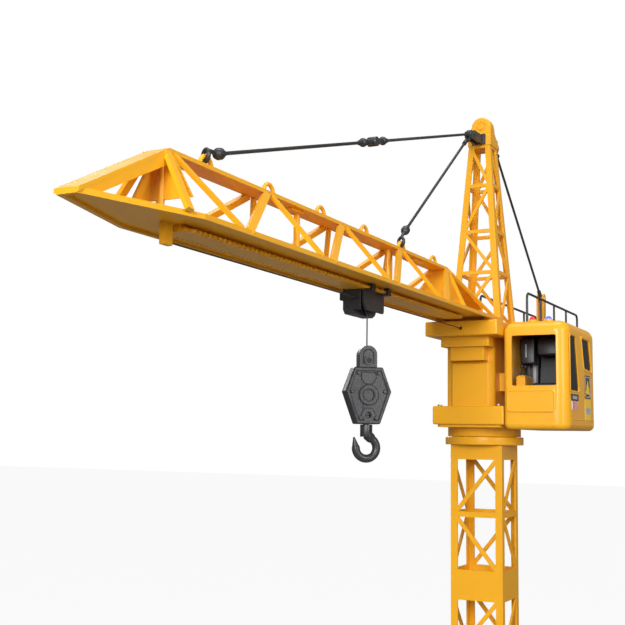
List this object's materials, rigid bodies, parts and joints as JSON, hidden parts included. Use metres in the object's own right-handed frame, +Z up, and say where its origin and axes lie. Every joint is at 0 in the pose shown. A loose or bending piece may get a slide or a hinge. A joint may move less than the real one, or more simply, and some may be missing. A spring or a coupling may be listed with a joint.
{
  "type": "toy tower crane",
  "caption": "Toy tower crane: plug-together lattice mast on a cross base, slewing cab and jib, rack-driven trolley, hoist with a swivelling hook.",
  "frame": {"origin": "on the ground under the mast's axis, at the centre of the four foot holes", "axes": "+Z up along the mast, +X along the jib towards its nose, +Y towards the operator's cab"},
  "size_m": [1.07, 0.4638, 1.22],
  "materials": {
    "yellow_plastic": "satin",
    "rubber_feet": "matte",
    "grey_ballast": "matte",
    "steel": "satin",
    "white_nylon": "satin",
    "black_plastic": "satin",
    "black_wire": "gloss",
    "green_board": "satin",
    "cell_wrap": "gloss",
    "red_knob": "gloss",
    "red_lens": "gloss",
    "blue_lens": "gloss",
    "dark_glazing": "gloss",
    "dark_interior": "satin",
    "ochre_console": "satin",
    "cord": "matte"
  },
  "bodies": {
    "mast": {"base_frame": "yellow_plastic", "base_feet": "rubber_feet", "ballast_blocks": "grey_ballast", "base_struts": "yellow_plastic", "strut_collar": "yellow_plastic", "mast_section_1": "yellow_plastic", "mast_section_2": "yellow_plastic", "mast_section_3": "yellow_plastic", "mast_section_4": "yellow_plastic", "mast_section_5": "yellow_plastic", "slew_ring_base": "yellow_plastic", "pivot_retainer": "steel"},
    "upperworks": {"slew_motor": "steel", "slew_housing": "yellow_plastic", "column_shell_front": "yellow_plastic", "column_shell_rear": "yellow_plastic", "jib_platform": "yellow_plastic", "hoist_motor": "steel", "circuit_board": "green_board", "casing_screws": "steel", "tower_head_frame": "yellow_plastic", "head_cap": "yellow_plastic", "tail_plate": "yellow_plastic", "head_bracket": "black_plastic", "jib_section_root": "yellow_plastic", "jib_section_middle": "yellow_plastic", "jib_section_tip": "yellow_plastic", "trolley_rack": "yellow_plastic", "outer_tie_rod_tip": "black_plastic", "outer_tie_rod_head": "black_plastic", "tie_rod_coupler": "black_plastic", "inner_tie_rod": "black_plastic", "rear_stay_rod": "black_plastic", "counter_jib_frame": "yellow_plastic", "counterweights": "grey_ballast", "handrails": "black_wire", "battery_box": "black_plastic", "battery_cover": "black_plastic", "battery_cells": "cell_wrap", "cab_shell": "yellow_plastic", "lamp_lens_red": "red_lens", "lamp_lens_blue": "blue_lens", "cab_side_windows": "dark_glazing", "cab_interior": "dark_interior", "cab_seat": "dark_interior", "cab_console": "ochre_console", "cab_levers": "dark_interior", "jib_cord": "cord"},
    "slew_gear": {"slew_pinion": "white_nylon"},
    "drum": {"hoist_drum": "black_plastic"},
    "switch_knob": {"power_switch": "red_knob"},
    "trolley": {"trolley_frame": "black_plastic", "trolley_motor": "steel", "hoist_line": "cord"},
    "rack_gear": {"trolley_pinion": "white_nylon"},
    "guide_wheel": {"guide_sheave": "black_plastic"},
    "hook_block": {"hook_block_front": "black_plastic", "hook_block_rear": "black_plastic", "hook_block_screws": "black_plastic"},
    "hook": {"crane_hook": "black_plastic"}
  },
  "joints": [
    {"name": "slew", "type": "hinge", "parent": "mast", "child": "upperworks", "pos_m": [0, 0, 0.843], "axis": [0, 0, 1], "continuous": true},
    {"name": "slew_gear_spin", "type": "hinge", "parent": "upperworks", "child": "slew_gear", "pos_m": [-0.02475, 0, 0.8456], "axis": [0, 0, 1], "continuous": true},
    {"name": "drum_spin", "type": "hinge", "parent": "upperworks", "child": "drum", "pos_m": [0.03, 0, 0.9518], "axis": [0, 1, 0], "continuous": true},
    {"name": "power_slide", "type": "slide", "parent": "upperworks", "child": "switch_knob", "axis": [1, 0, 0], "range_m": [0, 0.005]},
    {"name": "trolley_travel", "type": "slide", "parent": "upperworks", "child": "trolley", "axis": [1, 0, 0], "range_m": [-0.2, 0.27]},
    {"name": "rack_gear_spin", "type": "hinge", "parent": "trolley", "child": "rack_gear", "pos_m": [0.327, -0.01718, 0.97], "axis": [0, 0, 1], "continuous": true},
    {"name": "guide_wheel_spin", "type": "hinge", "parent": "trolley", "child": "guide_wheel", "pos_m": [0.32, 0, 0.954], "axis": [0, 1, 0], "continuous": true},
    {"name": "hook_hoist", "type": "slide", "parent": "trolley", "child": "hook_block", "axis": [0, 0, 1], "range_m": [-0.7, 0.02], "deforming": ["hoist_line"]},
    {"name": "hook_swivel", "type": "hinge", "parent": "hook_block", "child": "hook", "pos_m": [0.327, 0, 0.8516], "axis": [0, 0, 1], "continuous": true}
  ],
  "couplings": [
    {"joint": "slew_gear_spin", "follows": "slew", "ratio": -4},
    {"joint": "drum_spin", "follows": "hook_hoist", "rad_per_m": -108.7},
    {"joint": "guide_wheel_spin", "follows": "hook_hoist", "rad_per_m": -142.86},
    {"joint": "rack_gear_spin", "follows": "trolley_travel", "rad_per_m": 149.6}
  ]
}
